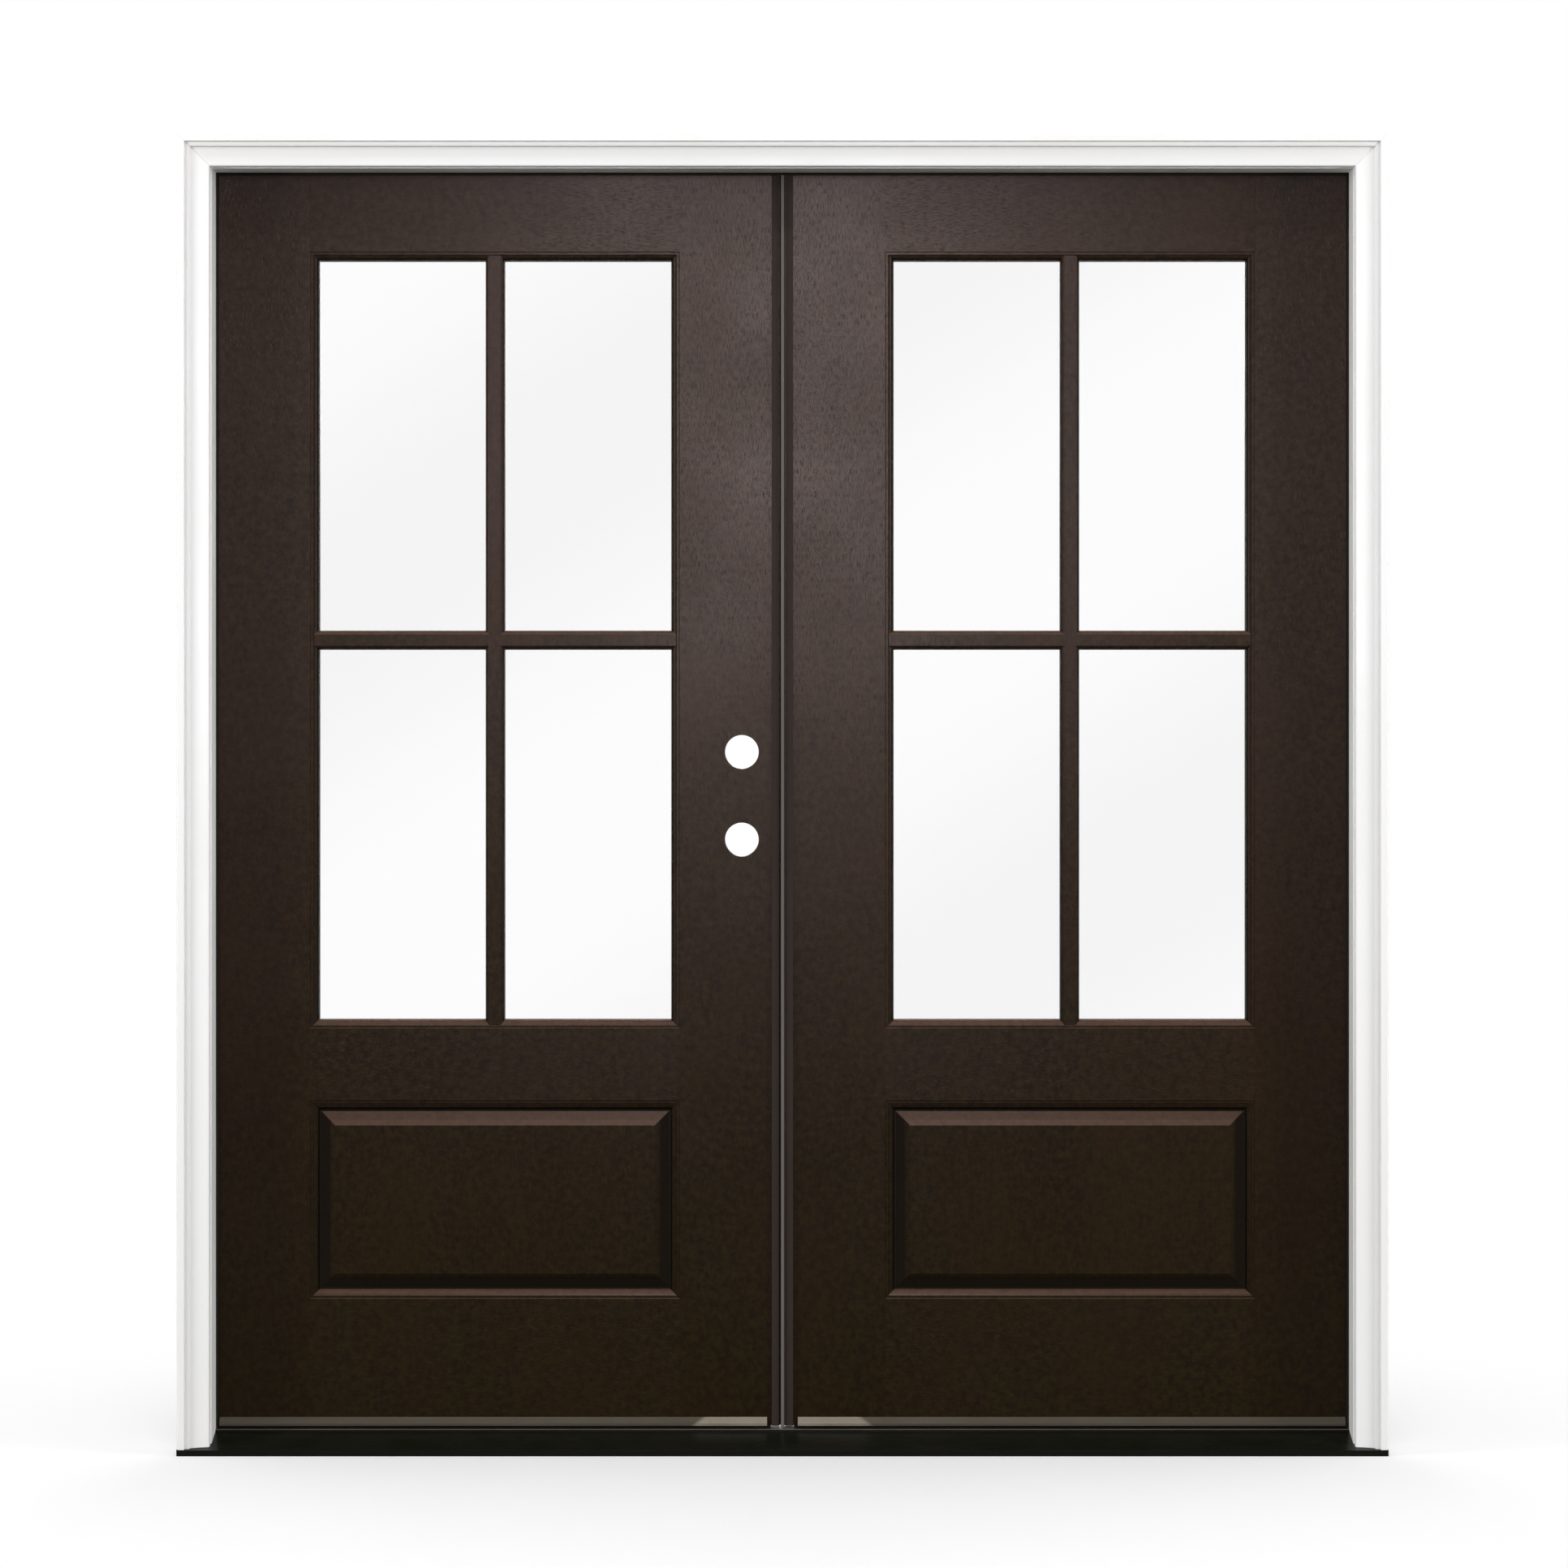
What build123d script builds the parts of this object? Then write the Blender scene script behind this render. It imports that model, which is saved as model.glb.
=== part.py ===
from build123d import *
import os

# Prehung pair of fiberglass entry doors with frame. All sizes are in millimetres.
# X runs along the wall, Y from outside to inside, Z up. The origin is under the middle
# of the sill, level with the outer edges of the jambs. The left leaf is the active one.

# Leaves and the gaps round them
leaf_width = 908.0
leaf_height = 2006.6
leaf_thickness = 44.45
hinge_gap = 3.0
head_gap = 3.0
meeting_gap = 9.0
leaf_rise = 36.0

# Jambs and weatherstrip
jamb_width = 115.9
jamb_thickness = 19.05
stop_height = 12.7
seal_gap = 5.05
seal_overhang = 4.0
seal_ease = 1.0
seal_clearance = 0.3
kerf_inset = 5.5
kerf_width = 3.0
kerf_depth = 8.0
leg_clearance = 0.3

# Brickmould
brick_width = 50.8
brick_thickness = 31.75
brick_reveal = 1.5
brick_band = 12.0
brick_bead = 8.0
brick_bead_thickness = 27.0
brick_cove_thickness = 23.0
brick_edge_thickness = 18.0
brick_ease = 2.5
brick_ease_bulge = 0.625

# Sill
sill_overhang = 1.25
sill_lip = 9.5
deck_sheet = 1.6
deck_back_y = 57.0
deck_back_z = 28.0
cap_clearance = 0.4
cap_base_z = 19.0
cap_top_z = 31.0
cap_setback = 3.0
cap_groove = 4.0
upstand_drop = 0.6

# Leaf construction
skin_thickness = 2.0
hinge_stile_width = 38.0
lock_stile_width = 25.0
top_rail_height = 38.0
bottom_rail_height = 50.0
lock_block_width = 95.0
lock_block_height = 360.0

# Window, its foot measured from the foot of the leaf and its head from the top
lite_width = 589.0
lite_foot = 633.0
lite_from_top = 135.6
stick_width = 13.5
stick_depth = 10.5
lip_thickness = 2.0
pane_thickness = 3.0
pane_space = 12.7
pane_clearance = 1.6
spacer_width = 7.0
spacer_inset = 3.0
bead_clearance = 0.3
bar_width = 30.5
bar_flat = 18.0
bar_front = 2.0
bar_foot = 1.7

# Raised panel, measured from the foot of the leaf
panel_width = 589.0
panel_foot = 202.0
panel_head = 517.6
panel_depth = 9.0
panel_stick = 14.5
panel_groove = 3.0
panel_slope = 13.0
panel_shoulder = 5.6
panel_step = 9.0
panel_field_drop = 0.8

# The small fillet that starts both mouldings
fillet_ease = 0.8
fillet_width = 4.5
fillet_depth = 1.1
quirk_depth = 1.1
ovolo_bulge = 1.6

# Joint line between hinge stile and top rail, moulded in the outer skin
joint_line_width = 0.8
joint_line_depth = 0.4

# Lock preparation of the active leaf
backset = 60.3
bore_radius = 26.99
lockset_height = 933.9
bore_spacing = 139.7
latch_radius = 12.7
faceplate_height = 57.2
faceplate_width = 25.4
faceplate_depth = 3.5

# Hinges
hinge_height = 101.6
hinge_plate = 2.4
hinge_reach = 38.0
hinge_corner = 6.35
hinge_from_top = 178.0
hinge_from_foot = 279.0
pin_offset = 6.0
pin_radius = 3.0
pin_clearance = 0.05
pin_head_radius = 4.8
pin_head_height = 3.2
pin_foot_radius = 3.9
pin_foot_height = 2.4
knuckle_radius = 5.5
knuckle_count = 5
knuckle_play = 0.3
swing_clearance = 0.4
hinge_sides = 12

# Drip edge and sweep
drip_height = 13.5
drip_reach = 8.0
drip_sheet = 1.3
drip_flat = 3.0
drip_throat = 2.6
drip_end_gap = 1.5
drip_meeting_gap = 20.0
sweep_base = 2.6
sweep_width = 34.0
sweep_inset = 5.0
sweep_clearance = 0.3
sweep_fin = 2.0
sweep_fins = 3
barb_width = 2.4
barb_height = 8.0
barb_spacing = 20.0
barb_clearance = 0.2

# Meeting stiles
astragal_plate = 3.0
nose_width = 5.0
nose_reach = 9.0
nose_root = 8.0
nose_inside = 6.0
nose_ease = 1.2
nose_foot_drop = 2.0
nose_head_gap = 0.6
seal_strip_width = 11.5
seal_strip_thickness = 4.9
seal_strip_gap = 1.0
channel_wall = 1.5
channel_clearance = 0.3

# Flush bolts
bolt_radius = 5.6
bolt_length = 300.0
bolt_travel = 19.0
bolt_setback = 1.6
bolt_point = 1.5
tab_width = 6.0
tab_height = 14.0
tab_setback = 14.0
tab_reach = 2.5
tab_clearance = 0.3
strike_plate = 1.8
strike_width = 24.0
strike_length = 44.0
strike_clearance = 0.6
hole_end_gap = 1.2

# Corner pads
pad_clearance = 0.4
pad_width = 24.0
pad_height = 46.0
pad_inset = 2.0

# Places that follow from the sizes, for the left half of the unit
meeting_edge = -meeting_gap / 2
hinge_edge = meeting_edge - leaf_width
leaf_middle = (meeting_edge + hinge_edge) / 2
rabbet_x = hinge_edge - hinge_gap
stop_x = rabbet_x + stop_height
jamb_outer_x = rabbet_x - jamb_thickness
brick_inner_x = stop_x - brick_reveal
brick_outer_x = brick_inner_x - brick_width
face_out = jamb_width - leaf_thickness
face_in = jamb_width
face_mid = (face_out + face_in) / 2
stop_y = face_out - seal_gap
leaf_foot = leaf_rise
leaf_top = leaf_foot + leaf_height
head_rabbet_z = leaf_top + head_gap
head_stop_z = head_rabbet_z - stop_height
head_top_z = head_rabbet_z + jamb_thickness
brick_inner_z = head_stop_z + brick_reveal
brick_outer_z = brick_inner_z + brick_width
sill_front_y = -brick_thickness - sill_overhang
deck_slope = (deck_back_z - sill_lip) / (deck_back_y - sill_front_y)
cap_front_y = deck_back_y + deck_sheet + cap_clearance
cap_back_y = face_in - cap_setback
seal_face_y = face_out - seal_clearance
stile_inner_x = hinge_edge + hinge_stile_width
lock_inner_x = meeting_edge - lock_stile_width
lite_left = leaf_middle - lite_width / 2
lite_right = leaf_middle + lite_width / 2
lite_low = leaf_foot + lite_foot
lite_high = leaf_top - lite_from_top
glass_y = face_out + stick_depth + lip_thickness
glass_back_y = glass_y + 2 * pane_thickness + pane_space
glass_depth = face_in - glass_back_y
panel_border = panel_stick + panel_groove + panel_slope + panel_step
panel_left = leaf_middle - panel_width / 2
panel_right = leaf_middle + panel_width / 2
panel_low = leaf_foot + panel_foot
panel_high = leaf_foot + panel_head
pin_x = (hinge_edge + rabbet_x) / 2
pin_y = face_in + pin_offset
hinge_y = face_in - hinge_reach
knuckle_pitch = hinge_height / knuckle_count
nose_front_y = face_out - nose_reach
nose_top_z = head_stop_z - seal_overhang - nose_head_gap
channel_half = bolt_radius + channel_clearance
bolt_x = -meeting_edge + channel_half
bore_x = meeting_edge - backset
lockset_z = leaf_foot + lockset_height
deadbolt_z = lockset_z + bore_spacing
margin = 1.0


def block(x0, x1, y0, y1, z0, z1):
    centre = Pos((x0 + x1) / 2, (y0 + y1) / 2, (z0 + z1) / 2)
    return centre * Box(x1 - x0, y1 - y0, z1 - z0)


def along_x(points, x0, x1):
    # Outline in (y, z), drawn out along the wall
    outline = Plane.YZ.offset(x0) * Polygon(*points, align=None)
    return extrude(outline, amount=x1 - x0, dir=(1, 0, 0))


def along_z(points, z0, z1):
    # Outline in (x, y), drawn out upwards
    outline = Plane.XY.offset(z0) * Polygon(*points, align=None)
    return extrude(outline, amount=z1 - z0, dir=(0, 0, 1))


def upright_rod(radius, x, y, z0, z1):
    return Pos(x, y, (z0 + z1) / 2) * Cylinder(radius, z1 - z0)


def other_side(shape):
    return mirror(shape, about=Plane.YZ)


def inner_face(shape):
    # Turns a detail of the leaf's outer face into the same detail on its inner face
    return mirror(shape, about=Plane.XZ.offset(-face_mid))


def group(solids):
    return Compound([solid for part in solids for solid in part.solids()])


def bowed(start, end, bulge):
    # Arc from start to end whose middle stands off the chord to its right
    chord = Vector(*end) - Vector(*start)
    across = Vector(chord.Y, -chord.X).normalized() * bulge
    middle = (Vector(*start) + Vector(*end)) * 0.5 + across
    return ThreePointArc(start, middle, end)


def mitred_bar(section, width, length, foot_mitre=True):
    # The section lies in (x, y) with x inward from the bar's outer edge. The bar stands
    # along Z, and each mitred end is cut at 45 degrees.
    foot = width if foot_mitre else 0
    corners = [(0, 0), (width, foot), (width, length - width), (0, length)]
    wedge = extrude(Plane.XZ * Polygon(*corners, align=None), amount=jamb_width, both=True)
    return extrude(section, amount=length, dir=(0, 0, 1)) & wedge


def mitred_ring(section, width, x0, x1, z0, z1):
    upright = mitred_bar(section, width, z1 - z0)
    level = mitred_bar(section, width, x1 - x0)
    return [
        Pos(x0, face_out, z0) * upright,
        Pos(x1, face_out, z1) * Rot(0, 180, 0) * upright,
        Pos(x0, face_out, z1) * Rot(0, 90, 0) * level,
        Pos(x1, face_out, z0) * Rot(0, -90, 0) * level,
    ]


def hinge_rod(radius, z0, z1, to_flats=False):
    # The round parts of the hinges repeat so often that they have a few flat sides
    outline = RegularPolygon(radius, hinge_sides, major_radius=not to_flats)
    return Pos(pin_x, pin_y, z0) * extrude(outline, amount=z1 - z0, dir=(0, 0, 1))


# Frame


def weatherstrip_kerf(x_side):
    # The kerf's two sides, measured from the stop's inner edge
    near = x_side - kerf_inset
    return near - kerf_width, near


def hinge_heights():
    top = leaf_top - hinge_from_top - hinge_height / 2
    foot = leaf_foot + hinge_from_foot + hinge_height / 2
    return [foot, (foot + top) / 2, top]


def jamb():
    kerf_far, kerf_near = weatherstrip_kerf(stop_x)
    outline = [
        (jamb_outer_x, 0),
        (stop_x, 0),
        (stop_x, stop_y),
        (kerf_near, stop_y),
        (kerf_near, stop_y - kerf_depth),
        (kerf_far, stop_y - kerf_depth),
        (kerf_far, stop_y),
        (rabbet_x, stop_y),
        (rabbet_x, face_in),
        (jamb_outer_x, face_in),
    ]
    post = along_z(outline, 0, head_rabbet_z)
    for z in hinge_heights():
        post -= Pos(0, 0, z) * hinge_blank(-1)
    return post


def head_jamb():
    kerf_far = head_stop_z + kerf_inset + kerf_width
    kerf_near = head_stop_z + kerf_inset
    stop = [
        (0, head_stop_z),
        (stop_y, head_stop_z),
        (stop_y, kerf_near),
        (stop_y - kerf_depth, kerf_near),
        (stop_y - kerf_depth, kerf_far),
        (stop_y, kerf_far),
        (stop_y, head_rabbet_z),
        (0, head_rabbet_z),
    ]
    board = block(jamb_outer_x, -jamb_outer_x, 0, face_in, head_rabbet_z, head_top_z)
    head = board + along_x(stop, stop_x, -stop_x)
    depth = leaf_top - bolt_setback + bolt_travel + strike_clearance
    head -= upright_rod(bolt_radius + strike_clearance, bolt_x, face_mid, head_rabbet_z, depth)
    return head - strike_blank(head_rabbet_z)


def weatherstrip_side():
    kerf_far, kerf_near = weatherstrip_kerf(stop_x)
    bulb = [
        (rabbet_x + seal_clearance, stop_y),
        (stop_x + seal_overhang, stop_y),
        (stop_x + seal_overhang, seal_face_y - seal_ease),
        (stop_x + seal_overhang - seal_ease, seal_face_y),
        (rabbet_x + seal_clearance, seal_face_y),
    ]
    leg = block(
        kerf_far + leg_clearance,
        kerf_near - leg_clearance,
        stop_y - kerf_depth + leg_clearance,
        stop_y,
        cap_top_z + seal_clearance,
        head_rabbet_z - seal_clearance,
    )
    return along_z(bulb, cap_top_z + seal_clearance, head_rabbet_z - seal_clearance) + leg


def weatherstrip_head():
    inner = head_stop_z - seal_overhang
    outer = head_rabbet_z - seal_clearance
    end = stop_x + seal_overhang + seal_clearance
    bulb = [
        (stop_y, inner),
        (stop_y, outer),
        (seal_face_y, outer),
        (seal_face_y, inner + seal_ease),
        (seal_face_y - seal_ease, inner),
    ]
    leg = block(
        end,
        -end,
        stop_y - kerf_depth + leg_clearance,
        stop_y,
        head_stop_z + kerf_inset + leg_clearance,
        head_stop_z + kerf_inset + kerf_width - leg_clearance,
    )
    return along_x(bulb, end, -end) + leg


def corner_pad():
    y0 = face_out + pad_inset
    z0 = cap_top_z + seal_clearance
    return block(rabbet_x, hinge_edge - pad_clearance, y0, y0 + pad_width, z0, z0 + pad_height)


def brickmould_section():
    # x inward from the outer edge, -y the thickness
    band_end = brick_band + fillet_ease
    bead_end = brick_band + brick_bead
    outer = [(brick_ease, -brick_thickness), (brick_band, -brick_thickness)]
    outer += [(band_end, -brick_bead_thickness)]
    bead_foot = (bead_end, -brick_bead_thickness + quirk_depth)
    cove_start = (bead_end + fillet_ease, -brick_cove_thickness)
    cove_end = (brick_width - brick_ease, -brick_edge_thickness)
    edge = (brick_width, -brick_edge_thickness + brick_ease)
    lines = [
        Polyline(edge, (brick_width, 0), (0, 0), (0, -brick_thickness + brick_ease)),
        bowed((0, -brick_thickness + brick_ease), outer[0], -brick_ease_bulge),
        Polyline(*outer),
        bowed(outer[-1], bead_foot, quirk_depth),
        Line(bead_foot, cove_start),
        bowed(cove_start, cove_end, -fillet_ease),
        bowed(cove_end, edge, brick_ease_bulge),
    ]
    return make_face(lines)


def deck_z(y):
    return sill_lip + (y - sill_front_y) * deck_slope


def brickmould_leg():
    leg = mitred_bar(brickmould_section(), brick_width, brick_outer_z, foot_mitre=False)
    leg = Pos(brick_outer_x, 0, 0) * leg
    under = [
        (sill_front_y, -margin),
        (sill_front_y, deck_z(sill_front_y)),
        (margin, deck_z(margin)),
        (margin, -margin),
    ]
    return leg - along_x(under, brick_outer_x - margin, brick_inner_x + margin)


def brickmould_head():
    bar = mitred_bar(brickmould_section(), brick_width, -2 * brick_outer_x)
    return Pos(brick_outer_x, 0, brick_outer_z) * Rot(0, 90, 0) * bar


def between_jambs(outline):
    # A sill piece runs under the brickmould in front and between the jambs behind
    piece = along_x(outline, brick_outer_x, -brick_outer_x)
    notches = block(brick_outer_x - margin, stop_x, 0, stop_y, -margin, cap_top_z + margin)
    notches += block(
        brick_outer_x - margin, rabbet_x, 0, face_in + margin, -margin, cap_top_z + margin
    )
    return piece - notches - other_side(notches)


def sill_substrate():
    front = sill_front_y + deck_sheet
    back = deck_back_y + deck_sheet
    outline = [
        (front, 0),
        (face_in, 0),
        (face_in, cap_base_z),
        (back, cap_base_z),
        (back, deck_z(back) - deck_sheet),
        (front, deck_z(front) - deck_sheet),
    ]
    base = between_jambs(outline)
    return base - bolt_hole(leaf_foot - bolt_travel - hole_end_gap, cap_base_z)


def sill_deck():
    front = sill_front_y + deck_sheet
    back = deck_back_y + deck_sheet
    top = cap_top_z - upstand_drop
    outline = [
        (sill_front_y, upstand_drop),
        (sill_front_y, sill_lip),
        (deck_back_y, deck_back_z),
        (deck_back_y, top),
        (back, top),
        (back, deck_z(back) - deck_sheet),
        (front, deck_z(front) - deck_sheet),
        (front, upstand_drop),
    ]
    return between_jambs(outline)


def sill_cap():
    middle = (cap_front_y + cap_back_y) / 2
    outline = [
        (cap_front_y, cap_base_z),
        (cap_front_y, cap_top_z - upstand_drop),
        (cap_front_y + upstand_drop, cap_top_z),
        (cap_back_y - cap_groove, cap_top_z),
        (cap_back_y, cap_top_z - cap_groove),
        (cap_back_y, cap_base_z),
        (middle + cap_groove, cap_base_z),
        (middle + cap_groove, cap_base_z + cap_groove),
        (middle - cap_groove, cap_base_z + cap_groove),
        (middle - cap_groove, cap_base_z),
    ]
    cap = between_jambs(outline)
    return cap - bolt_hole(cap_base_z, cap_top_z) - strike_blank(cap_top_z - strike_plate)


# Hinges, made for the left jamb about z = 0; side is 1 for the leaf and -1 for the jamb


def hinge_blank(side):
    # The plate before its knuckles, which is also the shape of its mortise
    face = pin_x + side * hinge_gap / 2
    back = face + side * hinge_plate
    blank = block(
        min(face, back), max(face, back), hinge_y, pin_y, -hinge_height / 2, hinge_height / 2
    )
    far_corners = blank.edges().filter_by(Axis.X).sort_by(Axis.Y)[:2]
    return fillet(far_corners, hinge_corner)


def hinge_half(side):
    half = hinge_blank(side)
    own = 1 if side > 0 else 0
    for k in range(knuckle_count):
        low = k * knuckle_pitch - hinge_height / 2
        high = low + knuckle_pitch
        if k % 2 == own:
            half += hinge_rod(knuckle_radius, low + knuckle_play / 2, high - knuckle_play / 2)
        else:
            half -= hinge_rod(knuckle_radius + swing_clearance, low, high, to_flats=True)
    return half - hinge_rod(pin_radius + pin_clearance, -hinge_height, hinge_height, to_flats=True)


def hinge_pin():
    # Rod with a button head and a smaller button at its foot
    end = hinge_height / 2
    pin = hinge_rod(pin_radius, -end, end)
    pin += hinge_rod(pin_head_radius, end, end + pin_head_height)
    return pin + hinge_rod(pin_foot_radius, -end - pin_foot_height, -end)


def at_hinges(shape):
    return [Pos(0, 0, z) * shape for z in hinge_heights()]


# Leaf, made for the left side


def start_of_moulding(extra):
    # Small fillet and quirk that both mouldings begin with, as (inward, depth) points
    return [
        (0, extra),
        (fillet_ease, fillet_depth + extra),
        (fillet_width, fillet_depth + extra),
        (fillet_width + fillet_ease, fillet_depth + quirk_depth + extra),
    ]


def panel_cut(extra):
    # What the moulded panel takes out of the outer face, set deeper by extra
    start = start_of_moulding(extra)
    groove = (panel_stick, panel_depth + extra)
    slope_x = panel_stick + panel_groove
    rest = [
        groove,
        (slope_x, panel_depth + extra),
        (slope_x + panel_slope, panel_shoulder + extra),
        (panel_border, panel_field_drop + extra),
        (panel_border, -margin),
        (0, -margin),
    ]
    lines = [Polyline(*rest, *start), bowed(start[-1], groove, ovolo_bulge)]
    ring = mitred_ring(
        make_face(lines), panel_border, panel_left, panel_right, panel_low, panel_high
    )
    field = block(
        panel_left + panel_border,
        panel_right - panel_border,
        face_out - margin,
        face_out + panel_field_drop + extra,
        panel_low + panel_border,
        panel_high - panel_border,
    )
    return field + ring


def sticking_ring():
    # The moulded glazing lip of the outer skin
    start = start_of_moulding(0)
    edge = (stick_width, stick_depth)
    back = stick_depth + lip_thickness
    lines = [
        Polyline(edge, (stick_width, back), (0, back), *start),
        bowed(start[-1], edge, ovolo_bulge),
    ]
    ring = mitred_ring(make_face(lines), stick_width, lite_left, lite_right, lite_low, lite_high)
    return ring[0] + ring[1:]


def glazing_beads():
    start = start_of_moulding(0)
    edge = (stick_width, stick_depth)
    lines = [
        Polyline(
            edge,
            (stick_width, glass_depth),
            (bead_clearance, glass_depth),
            (bead_clearance, fillet_depth),
            *start[1:],
        ),
        bowed(start[-1], edge, ovolo_bulge),
    ]
    ring = mitred_ring(make_face(lines), stick_width, lite_left, lite_right, lite_low, lite_high)
    return [inner_face(bar) for bar in ring]


def lite_hole(y0, y1):
    return block(lite_left, lite_right, y0, y1, lite_low, lite_high)


def cross_bores():
    # They go through both faces of the leaf
    bore = Rot(90, 0, 0) * Cylinder(bore_radius, leaf_thickness + 2 * margin)
    return [Pos(bore_x, face_mid, z) * bore for z in (deadbolt_z, lockset_z)]


def latch_bores():
    # They run in from the edge of the leaf, each behind a seat for its faceplate
    tools = []
    for z in (deadbolt_z, lockset_z):
        latch_middle = (bore_x + meeting_edge) / 2
        latch = Pos(latch_middle, face_mid, z) * Rot(0, 90, 0) * Cylinder(latch_radius, backset)
        plate = block(
            meeting_edge - faceplate_depth,
            meeting_edge + margin,
            face_mid - faceplate_width / 2,
            face_mid + faceplate_width / 2,
            z - faceplate_height / 2,
            z + faceplate_height / 2,
        )
        tools += [latch, plate]
    return tools


def outer_skin(active):
    plate = block(
        hinge_edge, meeting_edge, face_out, face_out + skin_thickness, leaf_foot, leaf_top
    )
    skin = plate + panel_cut(skin_thickness) - panel_cut(0)
    skin -= lite_hole(face_out - margin, face_out + skin_thickness + margin)
    skin += sticking_ring()
    skin -= block(
        lite_left - joint_line_width,
        lite_left,
        face_out - margin,
        face_out + joint_line_depth,
        lite_high,
        leaf_top,
    )
    if active:
        for bore in cross_bores():
            skin -= bore
    return skin


def inner_skin(active):
    plate = block(hinge_edge, meeting_edge, face_in - skin_thickness, face_in, leaf_foot, leaf_top)
    skin = plate + inner_face(panel_cut(skin_thickness)) - inner_face(panel_cut(0))
    skin -= lite_hole(face_in - skin_thickness - margin, face_in + margin)
    for blank in at_hinges(hinge_blank(1)):
        skin -= blank
    if active:
        for bore in cross_bores():
            skin -= bore
    return skin


def inside_skins(x0, x1, z0, z1):
    return block(x0, x1, face_out + skin_thickness, face_in - skin_thickness, z0, z1)


def lock_block():
    middle = (deadbolt_z + lockset_z) / 2
    z0 = middle - lock_block_height / 2
    return inside_skins(lock_inner_x - lock_block_width, lock_inner_x, z0, z0 + lock_block_height)


def bored(solid):
    for bore in cross_bores() + latch_bores():
        solid -= bore
    return solid


def foam_core(active):
    core = inside_skins(
        stile_inner_x, lock_inner_x, leaf_foot + bottom_rail_height, leaf_top - top_rail_height
    )
    core -= lite_hole(face_out, face_in)
    cut = panel_cut(skin_thickness)
    core = core - cut - inner_face(cut)
    return core - lock_block() if active else core


def hinge_stile():
    stile = inside_skins(hinge_edge, stile_inner_x, leaf_foot, leaf_top)
    for blank in at_hinges(hinge_blank(1)):
        stile -= blank
    return stile


def lock_stile(active):
    stile = inside_skins(lock_inner_x, meeting_edge, leaf_foot, leaf_top)
    return bored(stile) if active else stile - bolt_channel()


def top_rail():
    return inside_skins(stile_inner_x, lock_inner_x, leaf_top - top_rail_height, leaf_top)


def barb_places():
    middle = sweep_y0() + sweep_width / 2
    return [middle - barb_spacing / 2, middle + barb_spacing / 2]


def bottom_rail():
    rail = inside_skins(stile_inner_x, lock_inner_x, leaf_foot, leaf_foot + bottom_rail_height)
    half = barb_width / 2 + barb_clearance
    for y in barb_places():
        top = leaf_foot + barb_height + barb_clearance
        rail -= block(stile_inner_x, lock_inner_x, y - half, y + half, leaf_foot, top)
    return rail


def pane(y0):
    c = pane_clearance
    return block(
        lite_left + c, lite_right - c, y0, y0 + pane_thickness, lite_low + c, lite_high - c
    )


def glass_panes():
    return [pane(glass_y), pane(glass_back_y - pane_thickness)]


def glass_spacer():
    c = pane_clearance + spacer_inset
    d = c + spacer_width
    y0 = glass_y + pane_thickness
    y1 = y0 + pane_space
    ring = block(lite_left + c, lite_right - c, y0, y1, lite_low + c, lite_high - c)
    return ring - block(lite_left + d, lite_right - d, y0, y1, lite_low + d, lite_high - d)


def bar_section(depth):
    wide = bar_width / 2
    flat = bar_flat / 2
    foot = depth - bar_foot
    lines = [
        Polyline((flat, bar_front), (-flat, bar_front)),
        bowed((-flat, bar_front), (-wide, foot), -ovolo_bulge),
        Polyline((-wide, foot), (-wide, depth), (wide, depth), (wide, foot)),
        bowed((wide, foot), (flat, bar_front), -ovolo_bulge),
    ]
    return make_face(lines)


def grille(depth):
    # One bar from foot to head and a bar on each side of it, coped to the mouldings
    section = Pos(0, face_out, 0) * bar_section(depth)
    run = fillet_width - fillet_ease
    middle = (lite_low + lite_high) / 2
    upright = Pos(leaf_middle, 0, lite_low + run) * extrude(
        section, amount=lite_high - lite_low - 2 * run, dir=(0, 0, 1)
    )
    level = Pos(lite_left + run, 0, middle) * Rot(0, 90, 0) * extrude(
        section, amount=lite_width - 2 * run, dir=(0, 0, 1)
    )
    return upright, level - upright


def grille_outer():
    ring = sticking_ring()
    return [bar - ring for bar in grille(stick_depth + lip_thickness)]


def grille_inner():
    beads = glazing_beads()
    bars = [inner_face(bar) for bar in grille(glass_depth)]
    for bead in beads:
        bars = [bar - bead for bar in bars]
    return bars


def drip_edge():
    # An angle on the face of the leaf with a sloped front and a turned down lip
    foot, top = leaf_foot, leaf_foot + drip_height
    out = face_out - drip_reach
    outline = [
        (face_out, top),
        (face_out - drip_sheet, top),
        (out, foot + drip_flat + drip_sheet),
        (out, foot),
        (out + drip_sheet, foot),
        (out + drip_sheet, foot + drip_flat),
        (face_out - drip_sheet, top - drip_throat),
        (face_out - drip_sheet, foot),
        (face_out, foot),
    ]
    start = stop_x + seal_overhang + drip_end_gap
    return along_x(outline, start, meeting_edge - drip_meeting_gap)


def sweep_y0():
    return face_out + sweep_inset


def door_sweep():
    # Base strip under the leaf, fins down to the cap and barbs up into the bottom rail
    y0 = sweep_y0()
    end = -bolt_x - channel_half - channel_wall - margin
    base_z = leaf_foot - sweep_base
    sweep = block(hinge_edge + margin, end, y0, y0 + sweep_width, base_z, leaf_foot)
    step = (sweep_width - sweep_fin) / (sweep_fins - 1)
    for i in range(sweep_fins):
        y = y0 + i * step
        low = cap_top_z + sweep_clearance
        sweep += block(hinge_edge + margin, end, y, y + sweep_fin, low, base_z)
    for y in barb_places():
        sweep += block(
            stile_inner_x + margin,
            lock_inner_x - margin,
            y - barb_width / 2,
            y + barb_width / 2,
            leaf_foot,
            leaf_foot + barb_height,
        )
    return sweep


def meeting_seal():
    x1 = meeting_edge - seal_strip_gap
    return block(
        x1 - seal_strip_width, x1, face_out - seal_strip_thickness, face_out, leaf_foot, nose_top_z
    )


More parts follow.
